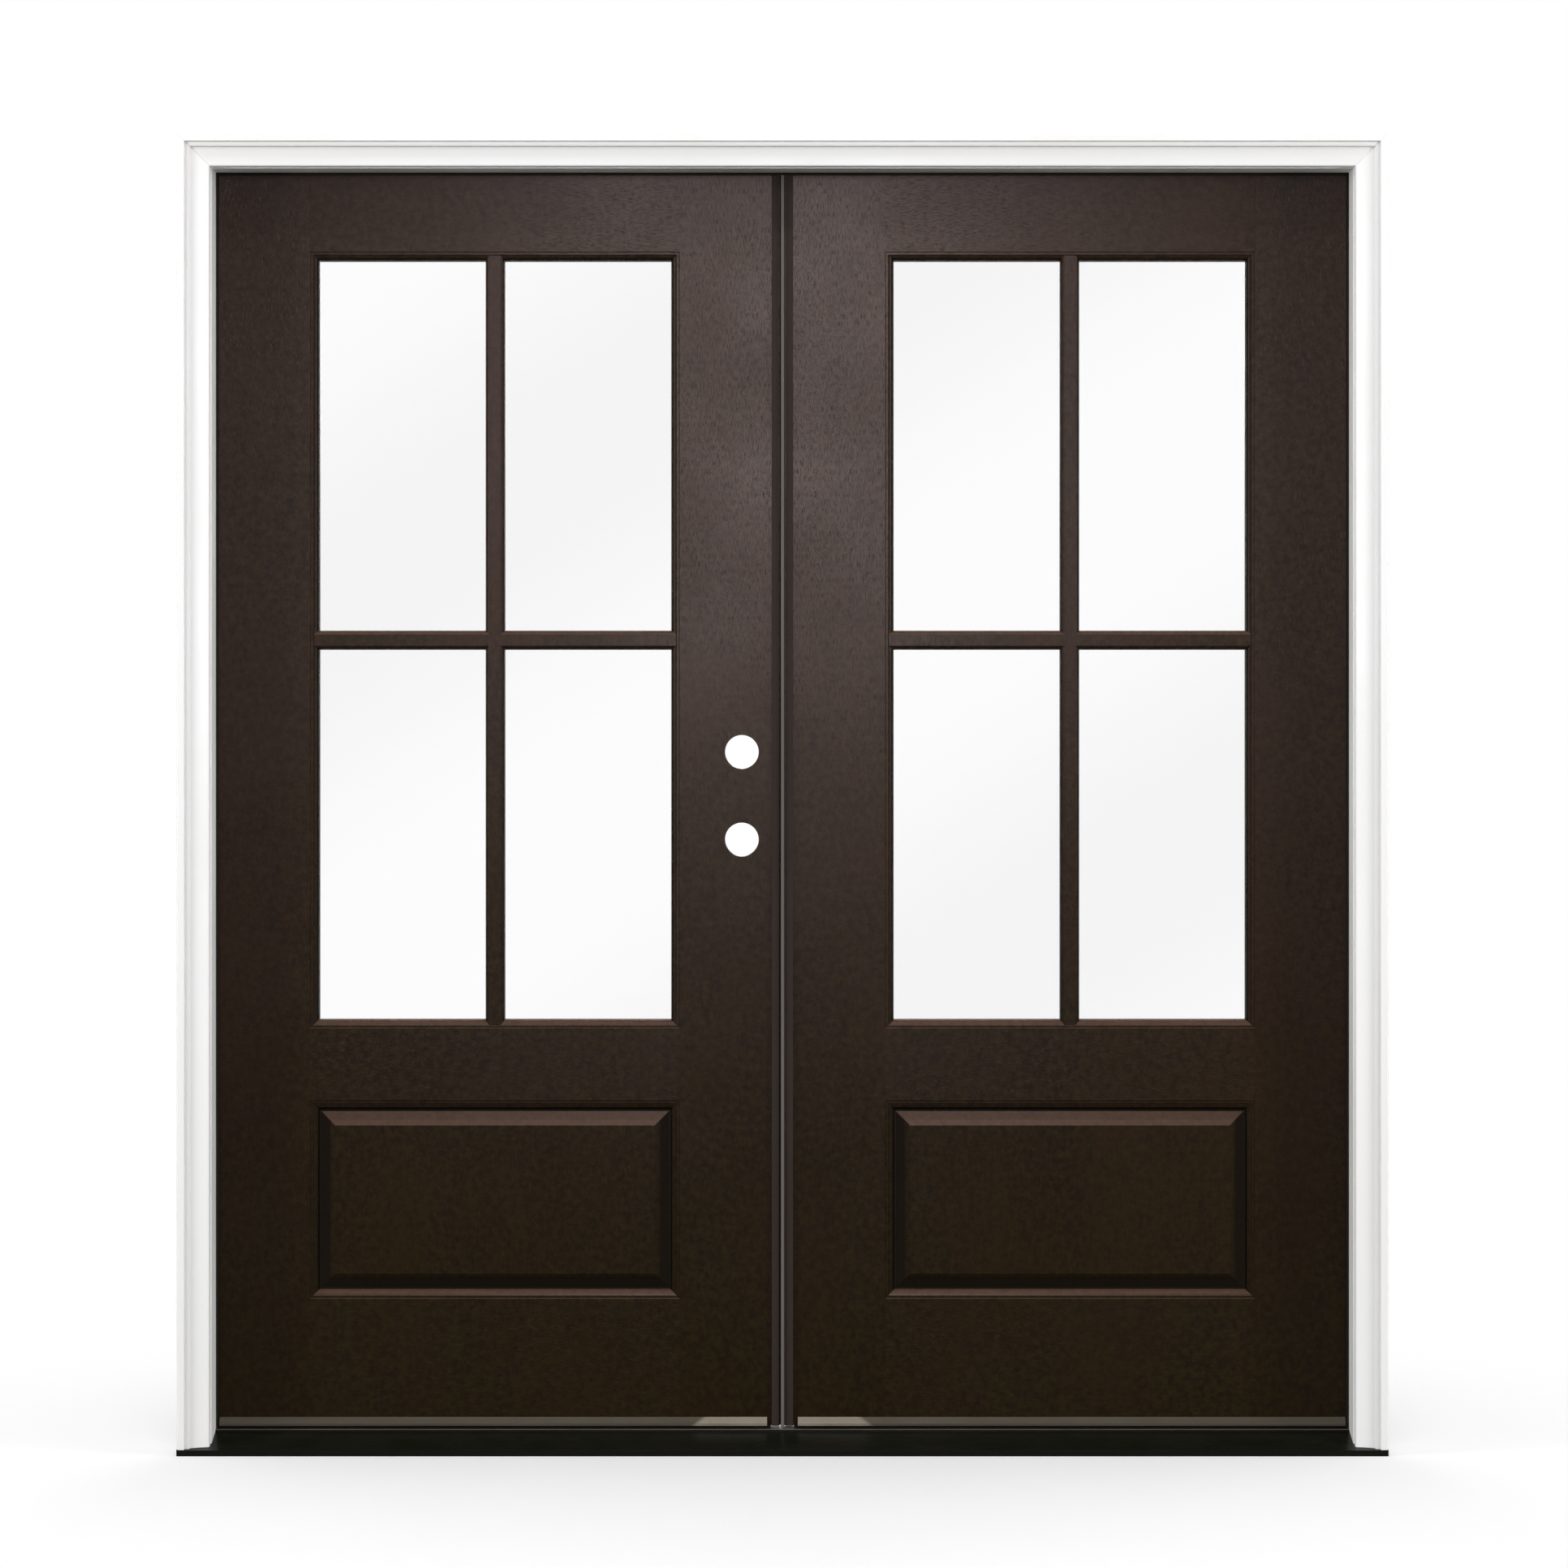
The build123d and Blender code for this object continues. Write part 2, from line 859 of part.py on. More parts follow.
# Meeting edge of the inactive leaf, made for the left side and mirrored where it is used


def bolt_channel():
    half = channel_half + channel_wall
    x0 = -bolt_x - half
    return block(x0, meeting_edge, face_mid - half, face_mid + half, leaf_foot, leaf_top)


def channel_space():
    x1 = meeting_edge
    return block(
        x1 - 2 * channel_half,
        x1,
        face_mid - channel_half,
        face_mid + channel_half,
        leaf_foot,
        leaf_top,
    )


def tab_z(top):
    # Foot of the finger tab of a withdrawn bolt
    inner = leaf_top - bolt_setback - bolt_length if top else leaf_foot + bolt_setback + bolt_length
    return inner + tab_setback if top else inner - tab_setback - tab_height


def astragal():
    face = meeting_edge + astragal_plate
    half = nose_width / 2
    bar = block(meeting_edge, face, face_out, face_in, leaf_foot, leaf_top)
    bar += bolt_channel() - channel_space()
    nose = block(-half, half, nose_front_y, face_out, leaf_foot - nose_foot_drop, nose_top_z)
    nose = fillet(nose.edges().filter_by(Axis.Z).sort_by(Axis.Y)[:2], nose_ease)
    bar += nose
    bar += block(face, half, face_out, face_out + nose_root, leaf_foot, leaf_top)
    bar += block(face, half, face_in - nose_inside, face_in, leaf_foot, leaf_top)
    slot = tab_width / 2 + tab_clearance
    for top in (True, False):
        low = tab_z(top) - (0 if top else bolt_travel) - tab_clearance
        high = low + tab_height + bolt_travel + 2 * tab_clearance
        bar -= block(meeting_edge - margin, face + margin, face_mid - slot, face_mid + slot, low, high)
    return other_side(bar)


def flush_bolt(top):
    if top:
        high = leaf_top - bolt_setback
        low = high - bolt_length
    else:
        low = leaf_foot + bolt_setback
        high = low + bolt_length
    bolt = upright_rod(bolt_radius, bolt_x, face_mid, low, high)
    ends = bolt.edges().sort_by(Axis.Z)
    bolt = chamfer(ends[-1] if top else ends[0], bolt_point)
    z = tab_z(top)
    half = tab_width / 2
    reach = -meeting_edge - astragal_plate - tab_reach
    return bolt + block(reach, bolt_x, face_mid - half, face_mid + half, z, z + tab_height)


def bolt_hole(z0, z1):
    return upright_rod(bolt_radius + strike_clearance, bolt_x, face_mid, z0, z1)


def strike_blank(z0):
    return block(
        bolt_x - strike_width / 2,
        bolt_x + strike_width / 2,
        face_mid - strike_length / 2,
        face_mid + strike_length / 2,
        z0,
        z0 + strike_plate,
    )


def bolt_strikes():
    places = [head_rabbet_z, cap_top_z - strike_plate]
    return [strike_blank(z) - bolt_hole(z, z + strike_plate) for z in places]


def frame_nodes():
    pins = at_hinges(hinge_pin())
    plates = at_hinges(hinge_half(-1))
    pad = corner_pad()
    strip = weatherstrip_side()
    leg = brickmould_leg()
    post = jamb()
    return {
        "jamb_left": [post],
        "jamb_right": [other_side(post)],
        "jamb_head": [head_jamb()],
        "brickmould_left": [leg],
        "brickmould_right": [other_side(leg)],
        "brickmould_head": [brickmould_head()],
        "sill_substrate": [sill_substrate()],
        "sill_deck": [sill_deck()],
        "sill_cap": [sill_cap()],
        "weatherstrip_left": [strip],
        "weatherstrip_right": [other_side(strip)],
        "weatherstrip_head": [weatherstrip_head()],
        "corner_pads": [pad, other_side(pad)],
        "hinge_plates_left_jamb": plates,
        "hinge_plates_right_jamb": [other_side(plate) for plate in plates],
        "hinge_pins_left": pins,
        "hinge_pins_right": [other_side(pin) for pin in pins],
        "bolt_strikes": bolt_strikes(),
    }


def leaf_nodes(active):
    leaf = {
        "lock_stile": [lock_stile(active)],
        "outer_skin": [outer_skin(active)],
        "inner_skin": [inner_skin(active)],
        "foam_core": [foam_core(active)],
        "hinge_stile": [hinge_stile()],
        "top_rail": [top_rail()],
        "bottom_rail": [bottom_rail()],
        "glass": glass_panes(),
        "glass_spacer": [glass_spacer()],
        "grille_outer": grille_outer(),
        "grille_inner": grille_inner(),
        "glazing_beads": glazing_beads(),
        "drip_edge": [drip_edge()],
        "door_sweep": [door_sweep()],
        "meeting_seal": [meeting_seal()],
        "hinge_plates": at_hinges(hinge_half(1)),
    }
    if active:
        leaf["lock_block"] = [bored(lock_block())]
        return {"active_" + name: parts for name, parts in leaf.items()}
    return {
        "inactive_" + name: [other_side(part) for part in parts] for name, parts in leaf.items()
    }


def meeting_nodes():
    return {
        "astragal": [astragal()],
        "bolt_top": [flush_bolt(True)],
        "bolt_bottom": [flush_bolt(False)],
    }


os.makedirs("parts", exist_ok=True)
nodes = frame_nodes() | leaf_nodes(True) | leaf_nodes(False) | meeting_nodes()
for name, parts in nodes.items():
    export_step(group(parts), "parts/" + name + ".step")
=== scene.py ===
# Looks, light and camera for a prehung pair of stained entry doors in a white frame.
# Metres, Z up, X along the wall, Y from outside to inside.
import math

import bmesh
import bpy
from mathutils import Matrix, Vector


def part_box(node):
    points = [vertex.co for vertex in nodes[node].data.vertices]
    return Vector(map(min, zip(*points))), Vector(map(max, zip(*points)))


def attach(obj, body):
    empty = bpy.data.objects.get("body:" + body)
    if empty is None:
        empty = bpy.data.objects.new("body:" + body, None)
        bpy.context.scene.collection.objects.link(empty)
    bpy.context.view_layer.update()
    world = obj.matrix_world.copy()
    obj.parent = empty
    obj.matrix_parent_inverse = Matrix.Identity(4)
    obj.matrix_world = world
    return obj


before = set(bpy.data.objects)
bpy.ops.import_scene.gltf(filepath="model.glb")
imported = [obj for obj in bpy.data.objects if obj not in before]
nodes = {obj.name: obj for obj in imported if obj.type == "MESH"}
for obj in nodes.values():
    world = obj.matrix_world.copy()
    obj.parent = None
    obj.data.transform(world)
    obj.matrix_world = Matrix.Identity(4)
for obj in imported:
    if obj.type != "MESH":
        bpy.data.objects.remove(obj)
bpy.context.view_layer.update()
print("frame loaded")


# Small helpers for node trees


def addNode(tree, kind, x, y, **settings):
    node = tree.nodes.new(kind)
    node.location = (x * 190, y * 170)
    for name, value in settings.items():
        setattr(node, name, value)
    return node


def plug(tree, target, source):
    # A socket is linked, and a plain value is set
    if isinstance(source, bpy.types.NodeSocket):
        tree.links.new(source, target)
    else:
        target.default_value = source


def addMath(tree, x, y, operation, *sources, clamp=False):
    node = addNode(tree, "ShaderNodeMath", x, y, operation=operation, use_clamp=clamp)
    for target, source in zip(node.inputs, sources):
        plug(tree, target, source)
    return node.outputs[0]


def addRange(tree, x, y, value, fromLow, fromHigh, toLow, toHigh, smooth=False):
    kind = "SMOOTHSTEP" if smooth else "LINEAR"
    node = addNode(tree, "ShaderNodeMapRange", x, y, interpolation_type=kind, clamp=True)
    for target, source in zip(node.inputs, (value, fromLow, fromHigh, toLow, toHigh)):
        plug(tree, target, source)
    return node.outputs[0]


def addMix(tree, x, y, factor, first, second, blend="MIX"):
    node = addNode(tree, "ShaderNodeMix", x, y, data_type="RGBA", blend_type=blend)
    plug(tree, node.inputs[0], factor)
    plug(tree, node.inputs[6], first)
    plug(tree, node.inputs[7], second)
    return node.outputs[2]


def addNoise(tree, x, y, vector, scale, detail=3.0, roughness=0.55):
    node = addNode(tree, "ShaderNodeTexNoise", x, y)
    plug(tree, node.inputs["Vector"], vector)
    plug(tree, node.inputs["Scale"], scale)
    plug(tree, node.inputs["Detail"], detail)
    plug(tree, node.inputs["Roughness"], roughness)
    return node.outputs["Fac"]


def stretched(tree, x, y, vector, scale):
    node = addNode(tree, "ShaderNodeMapping", x, y)
    plug(tree, node.inputs["Vector"], vector)
    node.inputs["Scale"].default_value = scale
    return node.outputs["Vector"]


def newGroup(name, inputs, outputs):
    tree = bpy.data.node_groups.new(name, "ShaderNodeTree")
    for label, kind, value in inputs:
        socket = tree.interface.new_socket(label, in_out="INPUT", socket_type="NodeSocket" + kind)
        socket.default_value = value
    for label, kind in outputs:
        tree.interface.new_socket(label, in_out="OUTPUT", socket_type="NodeSocket" + kind)
    start = addNode(tree, "NodeGroupInput", -6, 0)
    end = addNode(tree, "NodeGroupOutput", 6, 0)
    return tree, start.outputs, end.inputs


def useGroup(tree, group, x, y, **values):
    # Input names are written in camelCase here and with spaces on the node
    node = addNode(tree, "ShaderNodeGroup", x, y, node_tree=group)
    for name, value in values.items():
        label = "".join(" " + c if c.isupper() else c for c in name)
        plug(tree, node.inputs[label[0].upper() + label[1:]], value)
    return node.outputs


def newMaterial(name):
    material = bpy.data.materials.new(name)
    material.use_nodes = True
    tree = material.node_tree
    tree.nodes.clear()
    shader = addNode(tree, "ShaderNodeBsdfPrincipled", 7, 0)
    output = addNode(tree, "ShaderNodeOutputMaterial", 9, 0)
    tree.links.new(shader.outputs[0], output.inputs["Surface"])
    return material, tree, shader.inputs


def roundBump(tree, sockets, x, y, height, strength, distance, edge):
    # Bump over softly rounded edges, so that corners catch a thin line of light. Edge 0 leaves them sharp.
    bump = addNode(tree, "ShaderNodeBump", x, y)
    bump.inputs["Strength"].default_value = strength
    bump.inputs["Distance"].default_value = distance
    plug(tree, bump.inputs["Height"], height)
    if edge:
        bevel = addNode(tree, "ShaderNodeBevel", x - 2, y - 1, samples=8)
        bevel.inputs["Radius"].default_value = edge
        plug(tree, bump.inputs["Normal"], bevel.outputs[0])
    plug(tree, sockets["Normal"], bump.outputs[0])


# Shared effects

effects = {
    "grainAcross": 420.0,  # noise scales of the pressed grain
    "grainAlong": 26.0,
    "poreScale": 3.1,
    "mottleScale": 95.0,
    "patchStretch": 0.45,
    "smudgeFine": 240.0,
    "smudgeFineShare": 0.3,
    "dustSpecks": 420.0,
    "dustDrift": 14.0,
    "lineAcross": 900.0,
    "lineAlong": 3.0,
}


def makeGrainGroup():
    # Fine pressed grain of a moulded skin. Sideways turns it from upright to level.
    tree, given, result = newGroup(
        "pressedGrain",
        [("Sideways", "Float", 0.0), ("Fineness", "Float", 1.0), ("Patch Size", "Float", 0.5)],
        [("Streaks", "Float"), ("Pores", "Float"), ("Mottle", "Float"), ("Patches", "Float")],
    )
    place = addNode(tree, "ShaderNodeTexCoord", -5, -2).outputs["Object"]
    across, along = effects["grainAcross"], effects["grainAlong"]
    upright = stretched(tree, -4, -1, place, (across, across, along))
    level = stretched(tree, -4, -3, place, (along, across, across))
    turned = addMix(tree, -3, -2, given["Sideways"], upright, level)
    finer = addNode(tree, "ShaderNodeVectorMath", -2, -2, operation="SCALE")
    plug(tree, finer.inputs[0], turned)
    plug(tree, finer.inputs["Scale"], given["Fineness"])
    streaks = addNoise(tree, -1, 2, finer.outputs[0], 1.0, 2.0, 0.6)
    plug(tree, result["Streaks"], streaks)
    pores = addNoise(tree, -1, 0, finer.outputs[0], effects["poreScale"], 1.0, 0.5)
    plug(tree, result["Pores"], addRange(tree, 1, 0, pores, 0.56, 0.72, 0.0, 1.0, smooth=True))
    mottle = addNoise(tree, -1, -2, place, effects["mottleScale"], 5.0, 0.7)
    plug(tree, result["Mottle"], mottle)
    size = addMath(tree, -2, -4, "DIVIDE", 1.0, given["Patch Size"])
    flattened = stretched(tree, -3, -5, place, (1.0, 1.0, effects["patchStretch"]))
    patches = addNoise(tree, -1, -4, flattened, size, 4.0, 0.6)
    plug(tree, result["Patches"], addRange(tree, 1, -4, patches, 0.38, 0.66, 0.0, 1.0, smooth=True))
    return tree


def makeSmudgeGroup():
    # Uneven sheen from handling and wiping
    tree, given, result = newGroup(
        "wipedSheen",
        [("Size", "Float", 0.25), ("Low", "Float", 0.4), ("High", "Float", 0.5)],
        [("Roughness", "Float"), ("Mask", "Float")],
    )
    place = addNode(tree, "ShaderNodeTexCoord", -5, 0).outputs["Object"]
    scale = addMath(tree, -4, 1, "DIVIDE", 1.0, given["Size"])
    broad = addNoise(tree, -3, 1, place, scale, 3.0, 0.5)
    fine = addNoise(tree, -3, -1, place, effects["smudgeFine"], 2.0, 0.6)
    share = effects["smudgeFineShare"]
    broad = addMath(tree, -2, 1, "MULTIPLY", broad, 1.0 - share)
    both = addMath(tree, -1, 0, "MULTIPLY_ADD", fine, share, broad)
    mask = addRange(tree, 0, 0, both, 0.36, 0.62, 0.0, 1.0, smooth=True)
    plug(tree, result["Mask"], mask)
    plug(tree, result["Roughness"], addRange(tree, 2, 0, mask, 0.0, 1.0, given["Low"], given["High"]))
    return tree


def makeDustGroup():
    # Fine dust that settles on faces that look up
    tree, given, result = newGroup(
        "settledDust", [("Amount", "Float", 0.2), ("Reach", "Float", 0.6)], [("Mask", "Float")]
    )
    place = addNode(tree, "ShaderNodeTexCoord", -5, 0).outputs["Object"]
    facing = addNode(tree, "ShaderNodeNewGeometry", -5, -2).outputs["True Normal"]
    split = addNode(tree, "ShaderNodeSeparateXYZ", -4, -2)
    plug(tree, split.inputs[0], facing)
    up = addRange(tree, -3, -2, split.outputs["Z"], given["Reach"], 1.0, 0.0, 1.0, smooth=True)
    specks = addNoise(tree, -3, 0, place, effects["dustSpecks"], 2.0, 0.7)
    drift = addNoise(tree, -3, 1, place, effects["dustDrift"], 3.0, 0.6)
    cover = addMath(tree, -1, 0, "MULTIPLY", specks, drift)
    cover = addRange(tree, 0, 0, cover, 0.16, 0.4, 0.0, 1.0, smooth=True)
    settled = addMath(tree, 1, 0, "MULTIPLY", cover, up)
    mask = addMath(tree, 2, 0, "MULTIPLY", settled, given["Amount"])
    plug(tree, result["Mask"], mask)
    return tree


def makeBrushedGroup():
    # Fine drawn lines along the bar of an extrusion or a rolled sheet
    tree, given, result = newGroup(
        "drawnLines",
        [("Upright", "Float", 0.0), ("Low", "Float", 0.3), ("High", "Float", 0.45)],
        [("Lines", "Float"), ("Roughness", "Float")],
    )
    place = addNode(tree, "ShaderNodeTexCoord", -5, 0).outputs["Object"]
    across, along = effects["lineAcross"], effects["lineAlong"]
    level = stretched(tree, -4, 1, place, (along, across, across))
    upright = stretched(tree, -4, -1, place, (across, across, along))
    turned = addMix(tree, -3, 0, given["Upright"], level, upright)
    lines = addNoise(tree, -2, 0, turned, 1.0, 2.0, 0.6)
    plug(tree, result["Lines"], lines)
    roughness = addRange(tree, 0, 0, lines, 0.35, 0.65, given["Low"], given["High"])
    plug(tree, result["Roughness"], roughness)
    return tree


pressedGrain = makeGrainGroup()
wipedSheen = makeSmudgeGroup()
settledDust = makeDustGroup()
drawnLines = makeBrushedGroup()
print("effect groups built")


# Stained skins, bars and beads

stain = {
    "ground": (0.0190, 0.0116, 0.0056, 1.0),
    "light": (0.0300, 0.0182, 0.0092, 1.0),
    "dark": (0.0090, 0.0054, 0.0024, 1.0),
    "red": (0.0320, 0.0138, 0.0074, 1.0),
    "redShare": 0.38,
    "patchSize": 0.16,
    "mottleLow": 0.36,
    "mottleMiddle": (0.49, 0.51),
    "mottleHigh": 0.66,
    "lineShare": 0.45,
    "poreShare": 0.35,
    "footTone": (0.52, 0.56, 0.12, 1.0),  # painted shade: the stain darker and greener towards the foot
    "headTone": (1.0, 0.98, 1.0, 1.0),
    "toneRise": 1.4,
    "sheenSize": 0.3,
    "sheenLow": 0.25,
    "sheenHigh": 0.3,
    "specular": 0.06,
    "specularTint": (1.0, 0.82, 0.82, 1.0),
    "faceOut": 0.07145,  # the two faces of a leaf, and how deep a recess starts to take painted shade
    "faceIn": 0.1159,
    "poolFrom": 0.0028,
    "poolTo": 0.0062,
    "pool": 0.9,
    "pooled": (0.0040, 0.0027, 0.0010, 1.0),
    "ledge": (0.080, 0.046, 0.031, 1.0),  # painted light on the upper side of the mouldings
    "paintedUpLightShare": 0.8,
    "paintedUpLightFrom": 0.05,
    "ledgeTo": 0.3,
    "grainDepth": 0.00016,
    "grainStrength": 0.35,
    "railLeft": 0.164,  # inner and outer edge of the rails, from the middle of the unit
    "railRight": 0.753,
    "panelLow": 0.238,
    "panelHigh": 0.5536,
    "edge": 0.0007,
}


def railMask(tree):
    # 1 where the skin is pressed with level grain: on the rails between the stiles
    place = addNode(tree, "ShaderNodeTexCoord", -12, 3).outputs["Object"]
    split = addNode(tree, "ShaderNodeSeparateXYZ", -11, 3)
    plug(tree, split.inputs[0], place)
    side = addMath(tree, -10, 4, "ABSOLUTE", split.outputs["X"])
    inner = addMath(tree, -9, 5, "GREATER_THAN", side, stain["railLeft"])
    outer = addMath(tree, -9, 4, "LESS_THAN", side, stain["railRight"])
    above = addMath(tree, -9, 3, "GREATER_THAN", split.outputs["Z"], stain["panelHigh"])
    below = addMath(tree, -9, 2, "LESS_THAN", split.outputs["Z"], stain["panelLow"])
    level = addMath(tree, -8, 2, "ADD", above, below, clamp=True)
    return addMath(tree, -7, 3, "MULTIPLY", addMath(tree, -8, 4, "MULTIPLY", inner, outer), level)


def makeStain(name, sideways=None):
    material, tree, sockets = newMaterial(name)
    turn = railMask(tree) if sideways is None else sideways
    grain = useGroup(
        tree, pressedGrain, -5, 2, sideways=turn, fineness=1.0, patchSize=stain["patchSize"]
    )
    sheen = useGroup(
        tree, wipedSheen, -5, -2,
        size=stain["sheenSize"], low=stain["sheenLow"], high=stain["sheenHigh"],
    )
    middleLow, middleHigh = stain["mottleMiddle"]
    low = addRange(tree, -3, 3, grain["Mottle"], stain["mottleLow"], middleHigh, 1.0, 0.0)
    high = addRange(tree, -3, 2, grain["Mottle"], middleLow, stain["mottleHigh"], 0.0, 1.0)
    colour = addMix(tree, -1, 3, low, stain["ground"], stain["dark"])
    colour = addMix(tree, 0, 3, high, colour, stain["light"])
    red = addMath(tree, -3, 4, "MULTIPLY", grain["Patches"], stain["redShare"])
    colour = addMix(tree, 1, 3, red, colour, stain["red"])
    lines = addRange(tree, -3, 1, grain["Streaks"], 0.45, 0.75, 0.0, stain["lineShare"])
    colour = addMix(tree, 2, 3, lines, colour, stain["dark"])
    pores = addMath(tree, 2, 1, "MULTIPLY", grain["Pores"], stain["poreShare"])
    colour = addMix(tree, 3, 3, pores, colour, stain["dark"])
    place = addNode(tree, "ShaderNodeTexCoord", 0, 6).outputs["Object"]
    split = addNode(tree, "ShaderNodeSeparateXYZ", 1, 6)
    plug(tree, split.inputs[0], place)
    # Painted shade: the colour grows darker and greener towards the foot
    rise = addRange(tree, 2, 6, split.outputs["Z"], 0.0, stain["toneRise"], 0.0, 1.0, smooth=True)
    tone = addMix(tree, 3, 6, rise, stain["footTone"], stain["headTone"])
    colour = addMix(tree, 4, 4, 1.0, colour, tone, blend="MULTIPLY")
    # Painted shade in the recesses, darker with depth below either face
    front = addMath(tree, 2, 8, "SUBTRACT", split.outputs["Y"], stain["faceOut"])
    back = addMath(tree, 2, 9, "SUBTRACT", stain["faceIn"], split.outputs["Y"])
    depth = addMath(tree, 3, 8, "MINIMUM", front, back)
    pool = addRange(
        tree, 4, 8, depth, stain["poolFrom"], stain["poolTo"], 0.0, stain["pool"], smooth=True
    )
    colour = addMix(tree, 5, 5, pool, colour, stain["pooled"])
    # Painted light on faces that look up
    tilt = addNode(tree, "ShaderNodeSeparateXYZ", 3, 10)
    plug(tree, tilt.inputs[0], addNode(tree, "ShaderNodeNewGeometry", 2, 10).outputs["True Normal"])
    upLightMask = addRange(
        tree, 4, 10, tilt.outputs["Z"], stain["paintedUpLightFrom"], stain["ledgeTo"],
        0.0, stain["paintedUpLightShare"], smooth=True,
    )
    uneven = addRange(tree, 4, 9, grain["Mottle"], 0.3, 0.6, 0.7, 1.0)
    upLightMask = addMath(tree, 5, 9, "MULTIPLY", upLightMask, uneven)
    colour = addMix(tree, 6, 5, upLightMask, colour, stain["ledge"])
    plug(tree, sockets["Base Color"], colour)
    plug(tree, sockets["Roughness"], sheen["Roughness"])
    sockets["Specular IOR Level"].default_value = stain["specular"]
    sockets["Specular Tint"].default_value = stain["specularTint"]
    deep = addMath(tree, -2, -4, "MULTIPLY", grain["Pores"], -0.8)
    height = addMath(tree, -1, -4, "MULTIPLY_ADD", grain["Streaks"], 0.5, deep)
    height = addMath(tree, 0, -4, "MULTIPLY_ADD", grain["Mottle"], 1.0, height)
    roundBump(tree, sockets, 4, -4, height, stain["grainStrength"], stain["grainDepth"], stain["edge"])
    return material


# White trim

trim = {
    "colour": (0.845, 0.84, 0.838, 1.0),
    "shade": (0.825, 0.805, 0.795, 1.0),
    "jambColour": (0.86, 0.86, 0.84, 1.0),
    "jambShade": (0.83, 0.82, 0.79, 1.0),
    "dust": (0.5, 0.46, 0.4, 1.0),
    "dustAmount": 0.12,
    "low": 0.36,
    "high": 0.5,
    "specular": 0.4,
    "strength": 0.05,
    "depth": 0.00006,
    "edge": 0.0012,  # the brickmould's rounding; the jambs are left sharp
}


def makeTrim(name, colour, shade, edge):
    material, tree, sockets = newMaterial(name)
    sheen = useGroup(tree, wipedSheen, -4, -1, size=0.4, low=trim["low"], high=trim["high"])
    grain = useGroup(tree, pressedGrain, -4, 2, sideways=0.0, fineness=0.35, patchSize=0.8)
    dust = useGroup(tree, settledDust, -4, -4, amount=trim["dustAmount"], reach=0.5)
    patches = addMath(tree, -2, 3, "MULTIPLY", grain["Patches"], 0.5)
    body = addMix(tree, -1, 2, patches, colour, shade)
    body = addMix(tree, 1, 2, dust["Mask"], body, trim["dust"])
    plug(tree, sockets["Base Color"], body)
    plug(tree, sockets["Roughness"], sheen["Roughness"])
    sockets["Specular IOR Level"].default_value = trim["specular"]
    roundBump(tree, sockets, 4, -3, grain["Mottle"], trim["strength"], trim["depth"], edge)
    return material


# Rubber, foam and vinyl

soft = {
    "cellScale": 900.0,
    "darker": 0.7,
    "dust": (0.32, 0.3, 0.27, 1.0),
    "sheenSpan": 0.12,
    "specular": 0.04,
    "edge": 0.0004,
}


def makeSoft(name, colour, sheen, dustAmount=0.25, skin=0.00008):
    material, tree, sockets = newMaterial(name)
    place = addNode(tree, "ShaderNodeTexCoord", -7, 0).outputs["Object"]
    cells = addNoise(tree, -5, 0, place, soft["cellScale"], 2.0, 0.7)
    dust = useGroup(tree, settledDust, -5, 3, amount=dustAmount, reach=0.3)
    darker = tuple(c * soft["darker"] for c in colour[:3]) + (1.0,)
    body = addMix(tree, -2, 2, addRange(tree, -3, 1, cells, 0.4, 0.65, 0.0, 0.8), colour, darker)
    body = addMix(tree, 0, 2, dust["Mask"], body, soft["dust"])
    plug(tree, sockets["Base Color"], body)
    high = sheen + soft["sheenSpan"]
    smooth = useGroup(tree, wipedSheen, -5, -2, size=0.12, low=sheen, high=high)
    plug(tree, sockets["Roughness"], smooth["Roughness"])
    sockets["Specular IOR Level"].default_value = soft["specular"]
    roundBump(tree, sockets, 4, -3, cells, 0.4, skin, soft["edge"])
    return material


# Metals

metal = {
    "worn": 1.35,  # how much lighter the drawn lines are
    "wornShare": 0.7,
    "dust": (0.3, 0.28, 0.25, 1.0),
    "dustRoughness": 0.4,
    "strength": 0.25,
    "depth": 0.00003,
}


def makeMetal(
    name, colour, low, high, upright=0.0, metallic=1.0, level=0.4, dustAmount=0.15, edge=0.0003
):
    material, tree, sockets = newMaterial(name)
    lines = useGroup(tree, drawnLines, -4, 0, upright=upright, low=low, high=high)
    dust = useGroup(tree, settledDust, -4, 3, amount=dustAmount, reach=0.6)
    worn = tuple(min(1.0, c * metal["worn"]) for c in colour[:3]) + (1.0,)
    rubbed = addRange(tree, -2, 1, lines["Lines"], 0.4, 0.65, 0.0, metal["wornShare"])
    body = addMix(tree, -1, 2, rubbed, colour, worn)
    body = addMix(tree, 1, 2, dust["Mask"], body, metal["dust"])
    plug(tree, sockets["Base Color"], body)
    roughness = addMath(
        tree, 1, 0, "MULTIPLY_ADD", dust["Mask"], metal["dustRoughness"], lines["Roughness"], clamp=True
    )
    plug(tree, sockets["Roughness"], roughness)
    sockets["Metallic"].default_value = metallic
    sockets["Specular IOR Level"].default_value = level
    roundBump(tree, sockets, 4, -3, lines["Lines"], metal["strength"], metal["depth"], edge)
    return material


# Drip edge: brighter for a hand's width next to the meeting stiles, a painted reflection with some rubbed
# wear

drip = {
    "dark": (0.034, 0.027, 0.017, 1.0),
    "bright": (0.15, 0.132, 0.1, 1.0),
    "brightTo": 0.137,
    "fade": 0.012,
    "slant": 1.4,
    "foot": 0.036,
    "smudge": 0.1,
    "metallic": 0.3,
    "specular": 0.2,
    "edge": 0.0004,
}


